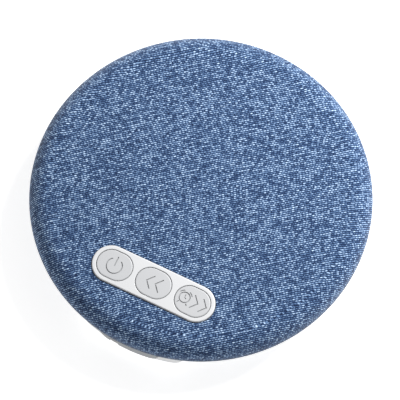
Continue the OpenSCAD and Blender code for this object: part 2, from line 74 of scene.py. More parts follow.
# ---- Floor and lights ---------------------------------------------------------------------
# The puck stands on a lit white table in a bright white room. One soft lamp close by at the far
# right makes that side of the cloth lighter than the near left.
def new_finish(name, **settings):
    finish = bpy.data.materials.new(name)
    finish.use_nodes = True
    shader = finish.node_tree.nodes["Principled BSDF"]
    for socket, value in settings.items():
        shader.inputs[socket.replace("_", " ")].default_value = value
    return finish, finish.node_tree, shader


def put(tree, kind, inputs=None, **props):
    node = tree.nodes.new(kind)
    for key, value in props.items():
        setattr(node, key, value)
    for key, value in (inputs or {}).items():
        if isinstance(value, bpy.types.NodeSocket):
            tree.links.new(value, node.inputs[key])
        else:
            node.inputs[key].default_value = value
    return node


def show(mesh, name):
    piece = bpy.data.objects.new(name, mesh)
    bpy.context.scene.collection.objects.link(piece)
    return piece


floor_half = 3.0
floor_glow, room_light = 0.62, 0.44
lamp_size, lamp_power = 0.22, 3.3
lamp_right, lamp_far, lamp_up = 0.24, 0.17, 0.3
bm = bmesh.new()
bmesh.ops.create_grid(bm, x_segments=1, y_segments=1, size=floor_half)
floor_mesh = bpy.data.meshes.new("studio_floor")
bm.to_mesh(floor_mesh)
bm.free()
floor = show(floor_mesh, "studio_floor")
table_white, _, _ = new_finish(
    "table_white", Base_Color=(0.9, 0.9, 0.9, 1), Roughness=0.9, Specular_IOR_Level=0.1,
    Emission_Color=(1, 1, 1, 1), Emission_Strength=floor_glow,
)
floor_mesh.materials.append(table_white)

room = bpy.data.worlds.new("studio_room")
room.use_nodes = True
backdrop = room.node_tree.nodes["Background"]
backdrop.inputs["Color"].default_value = (1, 1, 1, 1)
backdrop.inputs["Strength"].default_value = room_light
bpy.context.scene.world = room
bpy.context.scene.view_settings.view_transform = "Standard"

lamp_data = bpy.data.lights.new("soft_lamp", "AREA")
lamp_data.shape = "DISK"
lamp_data.size = lamp_size
lamp_data.energy = lamp_power
lamp = bpy.data.objects.new("soft_lamp", lamp_data)
picture_right = Vector((cos(azimuth), sin(azimuth), 0))
picture_far = Vector((-sin(azimuth), cos(azimuth), 0))
lamp_from = picture_right * lamp_right + picture_far * lamp_far + Vector((0, 0, lamp_up))
lamp.matrix_world = facing_back(lamp_from, lamp_from)
bpy.context.scene.collection.objects.link(lamp)


# ---- Upper shell --------------------------------------------------------------------------
# The black moulded shell that carries everything: the cloth outside, the loudspeaker behind
# its grille, the key board, and three posts for the case screws.
mm = 0.001


def maths(tree, operation, a, b=None, c=None):
    inputs = {k: v for k, v in enumerate((a, b, c)) if v is not None}
    return put(tree, "ShaderNodeMath", inputs, operation=operation).outputs[0]


def own_place(tree):
    return put(tree, "ShaderNodeTexCoord").outputs["Object"]


def noise(tree, place, scale, detail, **more):
    """Even noise between 0 and 1. The scale is in features a metre, or a millimetre of thread."""
    inputs = {"Vector": place, "Scale": scale, "Detail": detail, **more}
    return put(tree, "ShaderNodeTexNoise", inputs).outputs["Fac"]


def scaled(tree, place, factors):
    inputs = {0: place, 1: factors}
    return put(tree, "ShaderNodeVectorMath", inputs, operation="MULTIPLY").outputs[0]


def shade_between(tree, shader, amount, low, high):
    """Colours a finish from low to high, as far as an amount between 0 and 1 says."""
    inputs = {0: amount, 6: low + (1,), 7: high + (1,)}
    mix = put(tree, "ShaderNodeMix", inputs, data_type="RGBA")
    tree.links.new(mix.outputs[2], shader.inputs["Base Color"])


def roughen(tree, shader, amount, middle, spread):
    rough = maths(tree, "MULTIPLY_ADD", amount, spread, middle - spread / 2)
    tree.links.new(rough, shader.inputs["Roughness"])


def relief(tree, shader, height, strength, depth):
    """Raises a finish where its height is 1, by a depth in millimetres."""
    inputs = {"Height": height, "Strength": strength, "Distance": depth * mm}
    tree.links.new(put(tree, "ShaderNodeBump", inputs).outputs[0], shader.inputs["Normal"])


def moulded(name, colour, roughness=0.45, grain=0.5, depth=0.01, tint=0.02, **more):
    """Moulded plastic or rubber: a fine spark-eroded grain and a slight unevenness of colour."""
    patch_scale, rough_spread = 140.0, 0.16
    finish, tree, shader = new_finish(name, Specular_IOR_Level=0.5, **more)
    place = own_place(tree)
    patch = noise(tree, place, patch_scale, 3.0)
    low = tuple(c * (1 - tint) for c in colour)
    high = tuple(min(1, c * (1 + tint)) for c in colour)
    shade_between(tree, shader, patch, low, high)
    spark = noise(tree, place, 1 / (grain * mm), 2.0)
    roughen(tree, shader, spark, roughness, rough_spread)
    relief(tree, shader, spark, 0.35, depth)
    return finish


def dress(finish, *names):
    """Gives a finish to pieces that keep their CAD shape."""
    for name in names:
        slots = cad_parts[name].data.materials
        slots.clear()
        slots.append(finish)


shell_black = moulded("shell_black", (0.018, 0.018, 0.02), roughness=0.55, grain=0.4, depth=0.02)
dress(shell_black, "top_shell")


# ---- Fabric cover -------------------------------------------------------------------------
# A disc of blue and white melange twill, stretched over the upper shell and glued under its
# rim. It is cut out round the key bezel, and the cut edge is rolled down against it.
dome_r, rim_c, rim_r, rim_z = 520.0, 40.0, 5.0, 12.0
dome_z = rim_z - sqrt((dome_r - rim_r) ** 2 - rim_c**2)
join_angle = acos(rim_c / (dome_r - rim_r))
rim_start_r = rim_c * dome_r / (dome_r - rim_r)
cloth_t = 0.8
hem_r = 38.45
row_x, row_y = 0.45, 28.6
bezel_l, bezel_w = 34.8, 10.05
end_steps, side_steps = 48, 24
around = 2 * (end_steps + side_steps)


def dome_height(x, y, depth=0.0):
    return dome_z + sqrt((dome_r - depth) ** 2 - x * x - y * y)


def pill_loop(length, width, z=0.0, centre=(0.0, 0.0)):
    """Points round a bar with half-round ends, the same count for every size."""
    r, half = width / 2, (length - width) / 2
    points = []
    for side in (1, -1):
        turns = [pi * k / end_steps - pi / 2 for k in range(end_steps)]
        points += [(side * (half + r * cos(a)), side * r * sin(a)) for a in turns]
        points += [(side * (half - 2 * half * k / side_steps), side * r) for k in range(side_steps)]
    return [Vector((centre[0] + x, centre[1] + y, z)) for x, y in points]


def ring(r, z, first_bearing=-60, count=around):
    """Points round a circle. They start where the first point of a pill_loop faces it."""
    turns = [radians(first_bearing + 360 * k / count) for k in range(count)]
    return [Vector((r * cos(a), r * sin(a), z)) for a in turns]


def first_loop(bm, points):
    verts = [bm.verts.new(p) for p in points]
    for k in range(len(verts)):
        bm.edges.new((verts[k - 1], verts[k]))
    return verts


def edges_of(bm, verts):
    return [bm.edges.get((verts[k - 1], verts[k])) for k in range(len(verts))]


def next_loop(bm, verts, points):
    """Extrudes a closed loop of edges and puts the new loop where its points say."""
    made = bmesh.ops.extrude_edge_only(bm, edges=edges_of(bm, verts))["geom"]
    made = {g for g in made if isinstance(g, bmesh.types.BMVert)}
    out = []
    for v, p in zip(verts, points):
        twin = next(e.other_vert(v) for e in v.link_edges if e.other_vert(v) in made)
        twin.co = p
        out.append(twin)
    return out


def loft(bm, loops, cap_first=False, cap_last=False):
    start = verts = first_loop(bm, loops[0])
    for points in loops[1:]:
        verts = next_loop(bm, verts, points)
    if cap_first:
        bm.faces.new(start)
    if cap_last:
        bm.faces.new(verts)
    return start, verts


def finish_piece(bm, name, *finishes, crease=35, place=None):
    """Closes the bmesh, turns its faces outwards, and hands it over in metres."""
    bmesh.ops.remove_doubles(bm, verts=bm.verts, dist=1e-5)
    bmesh.ops.recalc_face_normals(bm, faces=bm.faces)
    if place:
        bmesh.ops.transform(bm, matrix=place, verts=bm.verts)
    bmesh.ops.scale(bm, vec=(mm, mm, mm), verts=bm.verts)
    mesh = bpy.data.meshes.new(name)
    bm.to_mesh(mesh)
    bm.free()
    for polygon in mesh.polygons:
        polygon.use_smooth = True
    mesh.set_sharp_from_angle(angle=radians(crease))
    for finish in finishes:
        mesh.materials.append(finish)
    return show(mesh, name)


def hand_over(piece, body, slot, *nodes):
    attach(piece, body)
    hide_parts(*nodes)


def bezel_outline(out):
    return pill_loop(bezel_l + 2 * out, bezel_w + 2 * out, 0, (row_x, -row_y))


def on_dome(points, depth):
    return [Vector((p.x, p.y, dome_height(p.x, p.y, depth))) for p in points]


def between(inner, outer, t, depth):
    return on_dome([p.lerp(q, t) for p, q in zip(inner, outer)], depth)


def cloth_reach(r, z):
    """Distance along the cloth from the middle of the puck, over the dome and round the rim."""
    turn = atan2(z - rim_z, r - rim_c)
    if r < rim_c and z > rim_z:
        return r
    if z < rim_z and turn < -pi / 2 + 0.01:
        return rim_c + rim_r * (join_angle + pi / 2) + rim_c - r
    return rim_c + rim_r * (join_angle - turn)


edge_roll, edge_gap, hem_bevel = 0.3, 0.1, 0.15
roll_steps, dome_steps, rim_steps, inner_steps = 5, 36, 22, 8
towards_bezel = 1.25     # above 1 sets the loops closer together near the bezel
bm = bmesh.new()
thread_layer = bm.verts.layers.float_vector.new("thread_mm")
drop = Vector((0, 0, cloth_t))
loops = [[p - drop for p in on_dome(bezel_outline(edge_gap), 0)]]
for k in range(roll_steps):
    a = pi / 2 * k / roll_steps
    rolled = bezel_outline(edge_gap + edge_roll * (1 - cos(a)))
    loops.append([p - Vector((0, 0, edge_roll * (1 - sin(a)))) for p in on_dome(rolled, 0)])
outline = bezel_outline(edge_gap + edge_roll)
for k in range(dome_steps):
    loops.append(between(outline, ring(rim_start_r, 0), (k / dome_steps) ** towards_bezel, 0))
for k in range(rim_steps + 1):
    a = join_angle - (pi / 2 + join_angle) * k / rim_steps
    loops.append(ring(rim_c + rim_r * cos(a), rim_z + rim_r * sin(a)))
hem_z = rim_z - rim_r
loops += [ring(hem_r + hem_bevel, hem_z), ring(hem_r, hem_z + hem_bevel), ring(hem_r, hem_z + cloth_t)]
for k in range(rim_steps // 2 + 1):
    a = (pi / 2 + join_angle) * k / (rim_steps // 2) - pi / 2
    loops.append(ring(rim_c + (rim_r - cloth_t) * cos(a), rim_z + (rim_r - cloth_t) * sin(a)))
cut_outline, inner_ring = bezel_outline(edge_gap), ring(rim_start_r - 1, 0)
for k in range(inner_steps):
    loops.append(between(cut_outline, inner_ring, 1 - k / inner_steps, cloth_t))
start, last = loft(bm, loops)
bmesh.ops.bridge_loops(bm, edges=edges_of(bm, start) + edges_of(bm, last))
for v in bm.verts:
    r = hypot(v.co.x, v.co.y)
    stretch = cloth_reach(r, v.co.z) / max(r, 1e-6)
    v[thread_layer] = Vector((v.co.x * stretch, v.co.y * stretch, 0))

# a wale is one of the weave's diagonal ridges, and a float is one stitch along it
wale_angle = radians(38.7)     # from the key row, so that the wales run up to the right
wale_pitch, float_length = 0.55, 0.8
drift_scale, drift_reach = 0.12, 0.5
crown_power, end_power, between_light = 1.3, 0.3, 0.05
fibre_scale, fibre_squeeze = 2.2, 2.2
fibre_gain, fibre_base, melange_gain = 1.6, -0.5, 0.5
# painted shade round the rim: where it starts, where it is full, and how bright the cloth stays there
rim_shade_from, rim_shade_to, rim_shade_level = 46.4, 49.4, 0.4
yarns = (
    (0.0, (0.001, 0.004, 0.018, 1)),
    (0.24, (0.016, 0.043, 0.118, 1)),
    (0.5, (0.125, 0.215, 0.375, 1)),
    (0.95, (0.62, 0.78, 0.95, 1)),
)
twill, tree, shader = new_finish(
    "melange_twill", Roughness=0.9, Sheen_Weight=0.15, Sheen_Roughness=0.5, Specular_IOR_Level=0.15,
)


def white_noise(place, dimensions):
    socket = "W" if dimensions == "1D" else "Vector"
    node = put(tree, "ShaderNodeTexWhiteNoise", {socket: place}, noise_dimensions=dimensions)
    return node.outputs["Value"]


def swell(place, power):
    """Rises and falls once over each whole step of its place. A low power makes it blunt."""
    wave = maths(tree, "SINE", maths(tree, "MULTIPLY", maths(tree, "FRACT", place), pi))
    return maths(tree, "POWER", wave, power)


thread = put(tree, "ShaderNodeAttribute", attribute_name="thread_mm").outputs["Vector"]
drift = put(tree, "ShaderNodeTexNoise", {"Vector": thread, "Scale": drift_scale, "Detail": 1.0})
drift = scaled(tree, drift.outputs["Color"], (drift_reach, drift_reach, 0))
drifted = put(tree, "ShaderNodeVectorMath", {0: thread, 1: drift}, operation="ADD").outputs[0]
turned = {"Vector": drifted, "Angle": -wale_angle}
turned = put(tree, "ShaderNodeVectorRotate", turned, rotation_type="Z_AXIS").outputs[0]
split = put(tree, "ShaderNodeSeparateXYZ", {0: turned}).outputs
across = maths(tree, "DIVIDE", split[1], wale_pitch)
wale = maths(tree, "FLOOR", across)
along = maths(tree, "DIVIDE", split[0], float_length)
along = maths(tree, "ADD", along, white_noise(wale, "1D"))
cell = put(tree, "ShaderNodeCombineXYZ", {0: maths(tree, "FLOOR", along), 1: wale}).outputs[0]
melange = white_noise(cell, "2D")
crown = maths(tree, "MULTIPLY", swell(across, crown_power), swell(along, end_power))
fibres = scaled(tree, turned, (1.0, fibre_squeeze, 1.0))
fibre = noise(tree, fibres, fibre_scale, 2.0, Roughness=0.6)
tone = maths(tree, "MULTIPLY_ADD", fibre, fibre_gain, fibre_base)
tone = maths(tree, "MULTIPLY_ADD", melange, melange_gain, tone)
# the tone is darkened between the wales and at the ends of each float: partly the dark ground yarn, partly
# painted shade in the dips between the ridges
lit = maths(tree, "MULTIPLY_ADD", crown, 1 - between_light, between_light)
ramp = put(tree, "ShaderNodeValToRGB", {0: maths(tree, "MULTIPLY", tone, lit)})
stops = ramp.color_ramp.elements
stops[0].position, stops[0].color = yarns[0]
stops[1].position, stops[1].color = yarns[-1]
for position, colour in yarns[1:-1]:
    stops.new(position).color = colour
# painted shade: the cloth is darkened round the rim and under it, where it turns away from the light
reach = put(tree, "ShaderNodeVectorMath", {0: thread}, operation="LENGTH").outputs["Value"]
painted_rim_shade = {"Value": reach, "From Min": rim_shade_from, "From Max": rim_shade_to, "To Min": 1.0, "To Max": rim_shade_level}
painted_rim_shade = put(tree, "ShaderNodeMapRange", painted_rim_shade).outputs["Result"]
yarn = {0: ramp.outputs["Color"], "Scale": painted_rim_shade}
yarn = put(tree, "ShaderNodeVectorMath", yarn, operation="SCALE").outputs[0]
tree.links.new(yarn, shader.inputs["Base Color"])
relief(tree, shader, crown, 0.5, 0.08)

cover = finish_piece(bm, "fabric_cover_cloth", twill)
hand_over(cover, "housing", "melange_fabric", "fabric_cover")


# ---- Loudspeaker --------------------------------------------------------------------------
# A small full-range driver on a black pressed basket, screwed behind the grille. Its moving
# parts are a coated paper cone on a rubber roll and a waxed cotton spider, with a copper coil.
def metal(name, colour, roughness=0.35, stretch=(1, 1, 1), grain=0.25, depth=0.004, spread=0.14):
    """Bare or plated metal, with fine marks drawn out along the axes that stretch names."""
    finish, tree, shader = new_finish(name, Metallic=1.0)
    marks = noise(tree, scaled(tree, own_place(tree), stretch), 1 / (grain * mm), 3.0)
    roughen(tree, shader, marks, roughness, spread)
    shade_between(tree, shader, marks, tuple(c * 0.88 for c in colour), colour)
    relief(tree, shader, marks, 0.4, depth)
    return finish


def striped(name, colour, dark, pitch, rings=False, axis=2, roughness=0.6, centre=(0, 0, 0), **more):
    """Fine even lines: turns of wire along an axis, threads, or rings round a centre."""
    finish, tree, shader = new_finish(name, Roughness=roughness, **more)
    place = {"Vector": own_place(tree), "Location": tuple(-c * mm for c in centre)}
    place = put(tree, "ShaderNodeMapping", place).outputs[0]
    split = put(tree, "ShaderNodeSeparateXYZ", {0: place}).outputs
    if rings:
        flat = put(tree, "ShaderNodeCombineXYZ", {0: split[0], 1: split[1]}).outputs[0]
        reach = put(tree, "ShaderNodeVectorMath", {0: flat}, operation="LENGTH").outputs["Value"]
    else:
        reach = split[axis]
    wave = maths(tree, "SINE", maths(tree, "MULTIPLY", reach, 2 * pi / (pitch * mm)))
    wave = maths(tree, "MULTIPLY_ADD", wave, 0.5, 0.5)
    uneven = maths(tree, "MULTIPLY_ADD", noise(tree, place, 900.0, 2.0), 0.6, 0.7)
    shade_between(tree, shader, maths(tree, "MULTIPLY", wave, uneven), dark, colour)
    relief(tree, shader, wave, 0.5, pitch * 0.2)
    return finish


driver_axis = Vector((-13.5, 9, 0))
bright_zinc = metal("bright_zinc", (0.62, 0.63, 0.65), roughness=0.32)
basket_paint = moulded("basket_paint", (0.025, 0.026, 0.03), roughness=0.42, grain=0.3, depth=0.015)
gasket_foam = moulded("gasket_foam", (0.03, 0.03, 0.032), roughness=0.95, grain=0.35, depth=0.09)
rubber = moulded("rubber_surround", (0.02, 0.02, 0.022), roughness=0.7, grain=0.2)
spider_cloth = striped(
    "spider_cloth", (0.72, 0.56, 0.26), (0.42, 0.30, 0.11), 0.28,
    rings=True, centre=driver_axis, roughness=0.85,
)
cone_paper = moulded(
    "cone_paper", (0.02, 0.02, 0.022), roughness=0.75, grain=0.6, depth=0.05, tint=0.3,
)
spun_aluminium = metal("spun_aluminium", (0.66, 0.67, 0.69), roughness=0.3, stretch=(1, 1, 8))
coil_copper = striped(
    "coil_copper", (0.72, 0.34, 0.15), (0.28, 0.10, 0.04), 0.12, roughness=0.35, Metallic=0.8,
)
dress(basket_paint, "speaker_frame")
dress(gasket_foam, "speaker_gasket")
dress(rubber, "speaker_surround")
dress(spider_cloth, "speaker_spider")
dress(cone_paper, "speaker_cone")
dress(spun_aluminium, "speaker_dust_cap")
dress(coil_copper, "voice_coil")
dress(metal("magnet_nickel", (0.60, 0.59, 0.57), roughness=0.28), "speaker_magnet")
dress(bright_zinc, "speaker_pole_plate", "speaker_yoke", "speaker_screws")
dress(moulded("terminal_board", (0.36, 0.22, 0.09), roughness=0.55, grain=0.8, tint=0.15), "speaker_terminals")
red_wire = moulded("red_insulation", (0.42, 0.02, 0.018), roughness=0.38, grain=0.8)
black_wire = moulded("black_insulation", (0.014, 0.014, 0.015), roughness=0.38, grain=0.8)
dress(red_wire, "speaker_lead_red")
dress(black_wire, "speaker_lead_black")


# ---- Key bezel ----------------------------------------------------------------------------
# A light plastic bar with round ends, snapped into the upper shell through the cloth. Its
# face follows the dome a little above it, and three openings let the keys through.
row_tilt = atan2(row_y, sqrt(dome_r**2 - row_y**2))
on_row = Matrix.Translation((row_x, -row_y, dome_height(0, row_y))) @ Matrix.Rotation(row_tilt, 4, "X")
key_l, key_w, key_pitch, key_gap = 9.7, 7.7, 11.3, 0.12
bezel_proud = 0.4
bezel_round, hole_round = 0.32, 0.14
neck_inset, neck_bottom = 0.5, -3.0
cloth_seat = 0.82
face_strip = 1.1     # the face is cut into strips this wide, so that it can follow the dome


def row_height(x, y, proud):
    return sqrt((dome_r + proud) ** 2 - x * x - y * y) - dome_r


def crowned(points, proud, drop=0.0):
    """Lays flat points of the key row on the dome, a given height above the cloth."""
    return [Vector((p.x, p.y, row_height(p.x, p.y, proud) - drop)) for p in points]


def rounded_edge(outline, r, proud, steps=6):
    """Loops that turn a wall over into a crowned face. outline(inset) gives the wall's shape."""
    loops = []
    for k in range(steps + 1):
        a = pi / 2 * k / steps
        loops.append(crowned(outline(r * (1 - cos(a))), proud, r * (1 - sin(a))))
    return loops + [crowned(outline(r + 0.04), proud)]


def fill(bm, edges):
    return bmesh.ops.triangle_fill(bm, edges=edges, use_beauty=True, normal=(0, 0, 1))["geom"]


def bezel_wall(inset):
    return pill_loop(bezel_l - 2 * inset, bezel_w - 2 * inset)


bm = bmesh.new()
loops = [pill_loop(bezel_l - 2 * neck_inset, bezel_w - 2 * neck_inset, neck_bottom)]
loops += [crowned(bezel_wall(inset), 0, cloth_seat) for inset in (neck_inset, 0)]
loops += rounded_edge(bezel_wall, bezel_round, bezel_proud)
neck_ring, face_ring = loft(bm, loops)
face_edges, neck_edges = edges_of(bm, face_ring), edges_of(bm, neck_ring)
for i in (-1, 0, 1):
    def key_hole(out):
        grow = 2 * (key_gap + out)
        return pill_loop(key_l + grow, key_w + grow, neck_bottom, (i * key_pitch, 0))

    low, high = loft(bm, [key_hole(0)] + rounded_edge(key_hole, hole_round, bezel_proud, 4))
    face_edges += edges_of(bm, high)
    neck_edges += edges_of(bm, low)
fill(bm, neck_edges)
face = fill(bm, face_edges)
face += [e for f in face if isinstance(f, bmesh.types.BMFace) for e in f.edges]
face += [v for e in face if isinstance(e, bmesh.types.BMEdge) for v in e.verts]
face = list(dict.fromkeys(face))
cuts = int(bezel_l / 2 / face_strip)
for k in range(-cuts, cuts + 1):
    plane = (k * face_strip, 0, 0)
    face = bmesh.ops.bisect_plane(bm, geom=face, plane_co=plane, plane_no=(1, 0, 0))["geom"]
for v in face:
    if isinstance(v, bmesh.types.BMVert):
        v.co.z = row_height(v.co.x, v.co.y, bezel_proud)
bezel_plastic = moulded("bezel_plastic", (0.56, 0.565, 0.575), roughness=0.4)
bezel = finish_piece(bm, "bezel_bar", bezel_plastic, place=on_row)
hand_over(bezel, "housing", "bezel_plastic", "key_bezel")


# ---- Keys ---------------------------------------------------------------------------------
# Three grey caps with a flange that keeps them behind the bezel and a stem over each switch.
# Their signs are moulded grooves: power; two arrowheads back; an alarm clock and two ahead.
key_plastic = moulded("key_plastic", (0.44, 0.446, 0.458), roughness=0.5)
# painted shade: a darker grey for the floors of the sign grooves, for the shade inside them
painted_groove_shade = moulded("painted_groove_shade", (0.30, 0.305, 0.315), roughness=0.6)
line_w, thin_w, hand_w = 0.30, 0.24, 0.22
groove_depth, cap_round = 0.22, 0.3
flange_out, flange_low, flange_high = 0.45, neck_bottom - 0.9, neck_bottom - 0.1
stem_low, stem_r = -4.98, 1.2


def stroke(points, width=line_w, cap_steps=5):
    """Outline of a line of even width with round ends, drawn along its points."""
    half = width / 2
    left, right = [], []
    last = len(points) - 1
    for k, p in enumerate(points):
        before, after = points[max(k - 1, 0)], points[min(k + 1, last)]
        arriving = (p - before).normalized() if k else (after - p).normalized()
        leaving = (after - p).normalized() if k < last else arriving
        mean = (arriving + leaving).normalized()
        side = Vector((-mean.y, mean.x)) * half / max(mean.dot(arriving), 0.3)
        left.append(p + side)
        right.append(p - side)

    def cap(centre, direction):
        start = atan2(direction.y, direction.x) + pi / 2
        turns = [start - pi * k / cap_steps for k in range(1, cap_steps)]
        return [centre + half * Vector((cos(a), sin(a))) for a in turns]

    far_cap = cap(points[-1], points[-1] - points[-2])
    return left + far_cap + right[::-1] + cap(points[0], points[0] - points[1])


def arc_profile(centre, r, a0, a1, steps):
    turns = [radians(a0 + (a1 - a0) * k / steps) for k in range(steps + 1)]
    return [(centre[0] + r * cos(a), centre[1] + r * sin(a)) for a in turns]


def arc_points(*arc):
    return [Vector(p) for p in arc_profile(*arc)]


def arrowhead(x, way):
    """One arrowhead with its tip at x. Way is 1 where it opens to the right."""
    arm, lean = 2.35, radians(50)
    tip, reach = Vector((x, 0)), Vector((cos(lean) * way * arm, sin(lean) * arm))
    return [stroke([tip + reach, tip, tip + Vector((reach.x, -reach.y))])]


power_centre, power_r, power_gap = (0, -0.2), 2.1, 38
power_ring = stroke(arc_points(power_centre, power_r, 90 + power_gap, 450 - power_gap, 30))
power_bar = stroke([Vector((0, -0.1)), Vector((0, 2.35))])
clock, clock_r, clock_steps = Vector((-2.3, 0.1)), 1.42, 32
clock_turn = 360 * (1 - 1 / clock_steps)
clock_face = [
    arc_points(clock, clock_r + side * line_w / 2, 0, clock_turn, clock_steps - 1) for side in (1, -1)
]
clock_hands = stroke([clock + Vector((0, 0.75)), clock, clock + Vector((0.45, -0.2))], hand_w)
bell_r, bell_from, bell_to = 1.95, 24, 58
bells = [
    stroke(arc_points(clock, bell_r, 90 - way * bell_from, 90 - way * bell_to, 5), thin_w)
    for way in (-1, 1)
]
feet = [
    stroke([clock + Vector((way * 1.07, -1.5)), clock + Vector((way * 1.35, -1.9))], thin_w)
    for way in (-1, 1)
]
small_marks = [[clock_hands]] + [[mark] for mark in bells + feet]
# each groove is a list of outlines: one, or an outside and an inside
signs = {
    "power": [[power_ring], [power_bar]],
    "previous": [arrowhead(-1.95, 1), arrowhead(0.55, 1)],
    "next": [arrowhead(1.55, -1), arrowhead(4.0, -1), clock_face] + small_marks,
}
for i, name in enumerate(signs):
    at = Vector(((i - 1) * key_pitch, 0))

    def cap_wall(inset, z=0.0):
        return pill_loop(key_l - 2 * inset, key_w - 2 * inset, z, at)

    bm = bmesh.new()
    stem = [p + Vector((at.x, at.y, stem_low)) for p in ring(stem_r, 0)]
    stem_top = [Vector((p.x, p.y, flange_low)) for p in stem]
    loops = [stem, stem_top, cap_wall(-flange_out, flange_low), cap_wall(-flange_out, flange_high)]
    loops += [cap_wall(0, flange_high)] + rounded_edge(cap_wall, cap_round, bezel_proud)
    _, top_ring = loft(bm, loops, cap_first=True)
    top_edges = edges_of(bm, top_ring)
    for groove in signs[name]:
        floor_edges = []
        for outline in groove:
            outline = [Vector((p.x + at.x, p.y + at.y, 0)) for p in outline]
            walls = [crowned(outline, bezel_proud, sunk) for sunk in (0.0, groove_depth)]
            high, low = loft(bm, walls)
            top_edges += edges_of(bm, high)
            floor_edges += edges_of(bm, low)
        # the groove floors take the painted shade
        for g in fill(bm, floor_edges):
            if isinstance(g, bmesh.types.BMFace):
                g.material_index = 1
    fill(bm, top_edges)
    cap_piece = finish_piece(bm, name + "_cap", key_plastic, painted_groove_shade, place=on_row)
    hand_over(cap_piece, name + "_key", "key_plastic", name + "_key")


# ---- Key board ----------------------------------------------------------------------------
# A narrow board on two screws under the keys, with a tact switch and its plunger for each,
# a status light between two of them, and a film cable that folds back to the main board.
def solder_mask(name, mask, trace, tracks=0.5):
    """Green varnish over copper tracks that run in patches this way and that, with vias."""
    patch_scale, via_scale, via_size = 210.0, 420.0, 0.12
    track_share, bare_share = 0.29, 0.35
    gold = (0.62, 0.45, 0.16, 1)
    finish, tree, shader = new_finish(name, Roughness=0.32, Specular_IOR_Level=0.5)
    place = own_place(tree)
    patches = {"Vector": place, "Scale": patch_scale}
    patches = put(tree, "ShaderNodeTexVoronoi", patches, distance="CHEBYCHEV").outputs["Color"]
    way = put(tree, "ShaderNodeSeparateXYZ", {0: patches}).outputs
    split = put(tree, "ShaderNodeSeparateXYZ", {0: place}).outputs
    run = {0: maths(tree, "GREATER_THAN", way[0], 0.5), 2: split[0], 3: split[1]}
    run = put(tree, "ShaderNodeMix", run, data_type="FLOAT").outputs[0]
    band = maths(tree, "PINGPONG", maths(tree, "DIVIDE", run, tracks * mm), 0.5)
    covered = maths(tree, "GREATER_THAN", way[1], bare_share)
    lines = maths(tree, "MULTIPLY", maths(tree, "GREATER_THAN", band, track_share), covered)
    varnish = {0: lines, 6: mask + (1,), 7: trace + (1,)}
    varnish = put(tree, "ShaderNodeMix", varnish, data_type="RGBA").outputs[2]
    vias = put(tree, "ShaderNodeTexVoronoi", {"Vector": place, "Scale": via_scale})
    plated = maths(tree, "LESS_THAN", vias.outputs["Distance"], via_size)
    mix = put(tree, "ShaderNodeMix", {0: plated, 6: varnish, 7: gold}, data_type="RGBA")
    tree.links.new(mix.outputs[2], shader.inputs["Base Color"])
    relief(tree, shader, maths(tree, "ADD", lines, plated), 0.5, 0.03)
    return finish


board_green = solder_mask("board_green", (0.008, 0.085, 0.035), (0.02, 0.16, 0.06))
chip_black = moulded("chip_black", (0.018, 0.018, 0.02), roughness=0.5, grain=0.2, depth=0.01)
ivory_nylon = moulded("ivory_nylon", (0.74, 0.69, 0.55), roughness=0.5, grain=0.6)
dress(board_green, "key_board")
dress(bright_zinc, "key_board_screws")
dress(chip_black, "power_switch", "previous_switch", "next_switch")
plunger_orange = moulded("plunger_orange", (0.55, 0.10, 0.02), roughness=0.45, grain=0.6)
led_lens = moulded(
    "led_lens", (0.85, 0.84, 0.66), roughness=0.15, grain=1.0, depth=0.002, Transmission_Weight=0.35,
)
flex_film = striped("flex_film", (0.62, 0.30, 0.06), (0.36, 0.13, 0.02), 0.5, axis=0, roughness=0.35)
dress(plunger_orange, "power_plunger", "previous_plunger", "next_plunger")
dress(led_lens, "status_led")
dress(flex_film, "ribbon_cable")
dress(ivory_nylon, "ribbon_sockets")


# ---- Main board ---------------------------------------------------------------------------
# The larger board on three heat stakes of the lower shell: audio processor, amplifier, charger,
# crystal, inductor and aerial, with rows of chip parts and a tin-plated socket at its nose.
nickel = metal("nickel_plate", (0.70, 0.69, 0.67), roughness=0.25, grain=0.4)
dress(board_green, "main_board")
dress(chip_black, "audio_processor", "amplifier_chip", "charger_chip", "chip_resistors")
dress(nickel, "crystal")
ferrite = moulded("ferrite", (0.07, 0.07, 0.075), roughness=0.6, grain=0.3, depth=0.03, tint=0.2)
ceramic_tan = moulded("ceramic_tan", (0.42, 0.30, 0.19), roughness=0.4, grain=0.4, tint=0.12)
can_aluminium = metal("can_aluminium", (0.80, 0.81, 0.82), roughness=0.3, stretch=(1, 1, 0.1))
ceramic_white = moulded("ceramic_white", (0.80, 0.81, 0.83), roughness=0.3, grain=0.5)
dress(ferrite, "power_inductor")
dress(ceramic_tan, "chip_capacitors")
dress(can_aluminium, "bulk_capacitor")
dress(ceramic_white, "chip_antenna")


# ---- Charging socket ----------------------------------------------------------------------
# A USB-C socket: a drawn and nickel-plated shell round a black tongue with gold contacts.
dress(nickel, "usb_shell")
socket_x, port_z = 2.3, 4.9
usb_front_y = -41.2
contact_count, contact_pitch, contact_z = 12, 0.5, 0.36


def block(bm, size, at):
    """Adds a box to a bmesh and gives back its corners."""
    corners = bmesh.ops.create_cube(bm, size=1)["verts"]
    bmesh.ops.scale(bm, vec=size, verts=corners)
    bmesh.ops.translate(bm, vec=at, verts=corners)
    return corners


